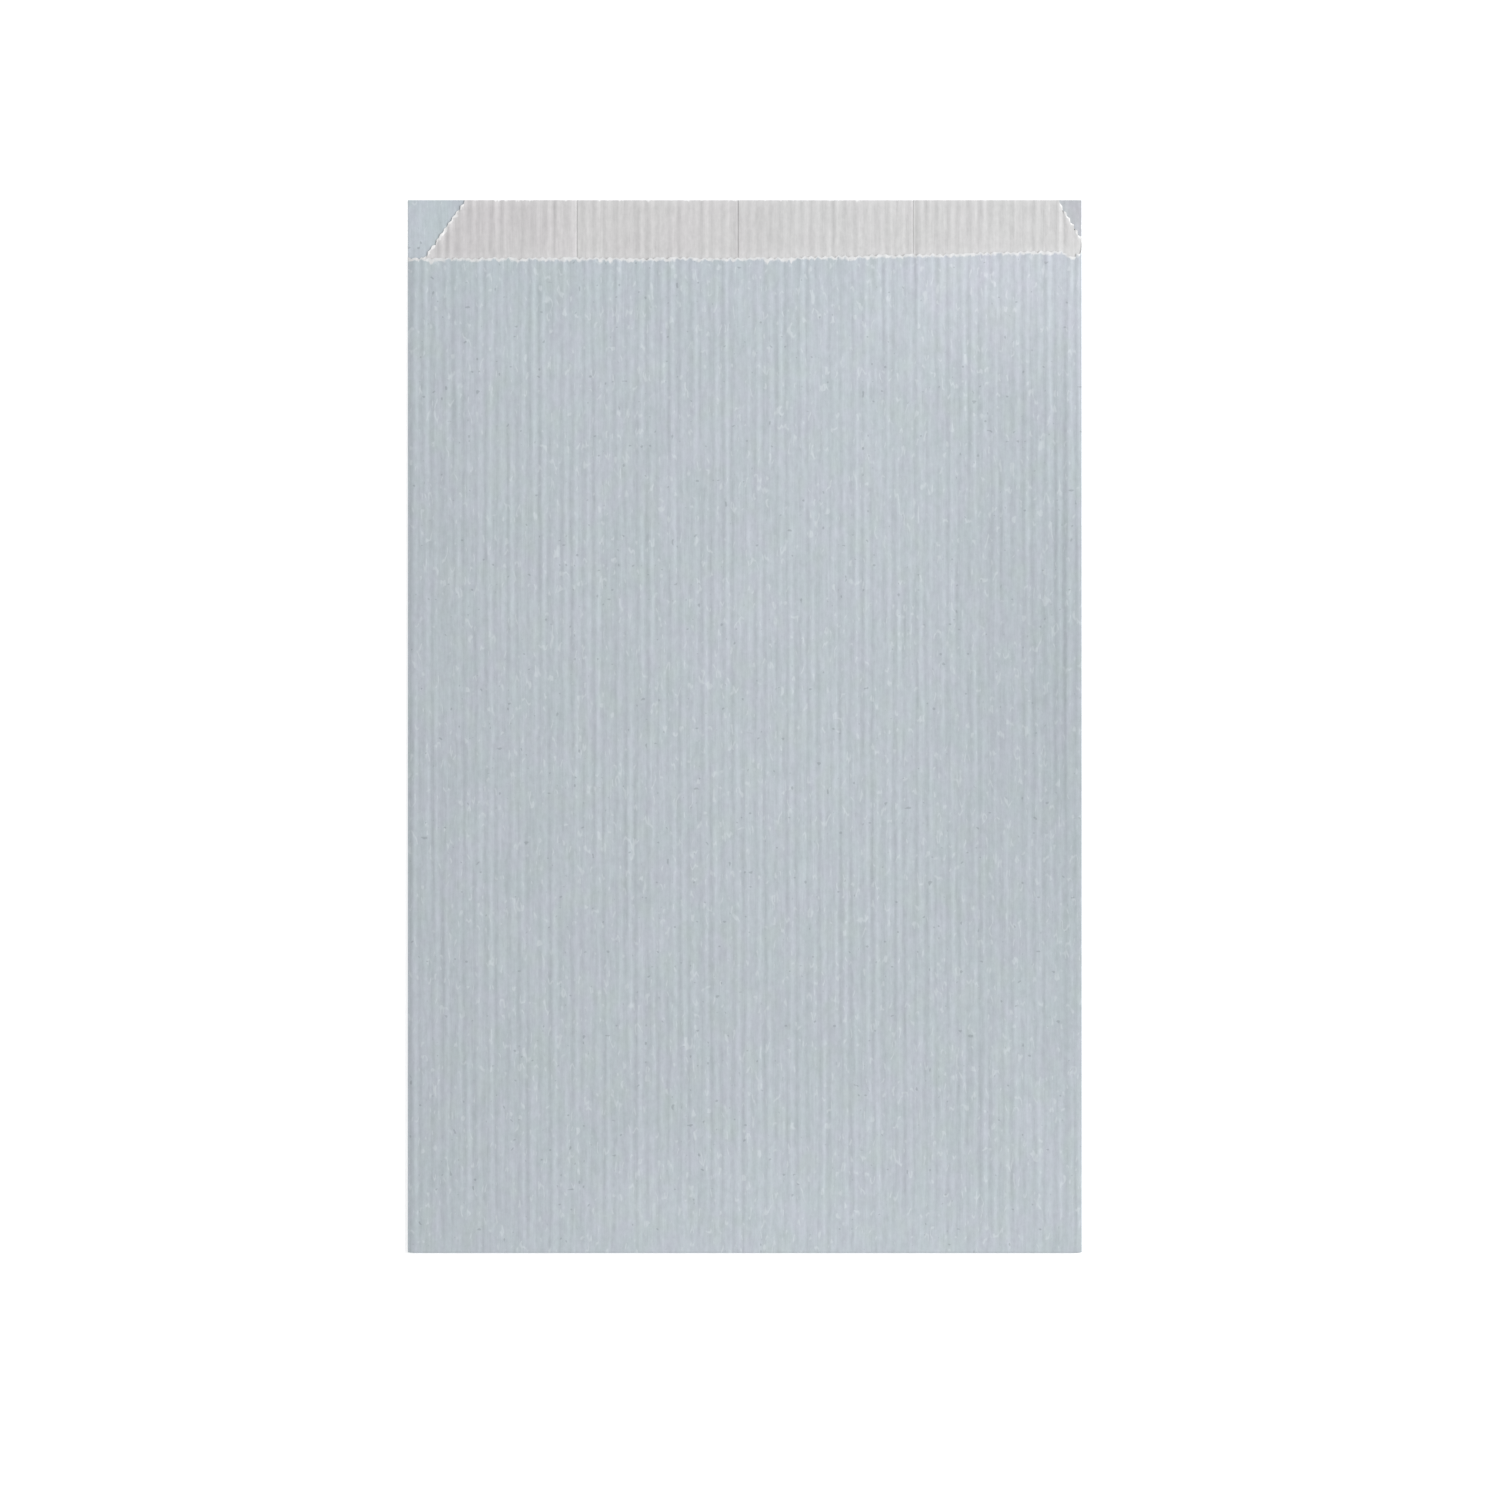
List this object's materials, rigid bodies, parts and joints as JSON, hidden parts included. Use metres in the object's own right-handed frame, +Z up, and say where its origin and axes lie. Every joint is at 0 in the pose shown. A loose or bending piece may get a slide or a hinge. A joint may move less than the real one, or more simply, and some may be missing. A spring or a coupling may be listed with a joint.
{
  "type": "flat paper bag",
  "caption": "Flat gusseted bag of ribbed paper with a stepped serrated mouth, a lapped back seam and a turned-up glued bottom, lying empty on its back.",
  "frame": {"origin": "on the surface the bag lies on, under the middle of its outline", "axes": "+X to the bag's right as seen from the front panel, +Y from the bottom fold to the mouth, +Z up out of the front panel"},
  "size_m": [0.16, 0.25, 0.0014],
  "materials": {
    "printed_paper": "ribbed uncoated paper, silver blue-grey outside and plain white inside"
  },
  "bodies": {
    "root": {"paper_bag": "printed_paper"}
  },
  "joints": []
}
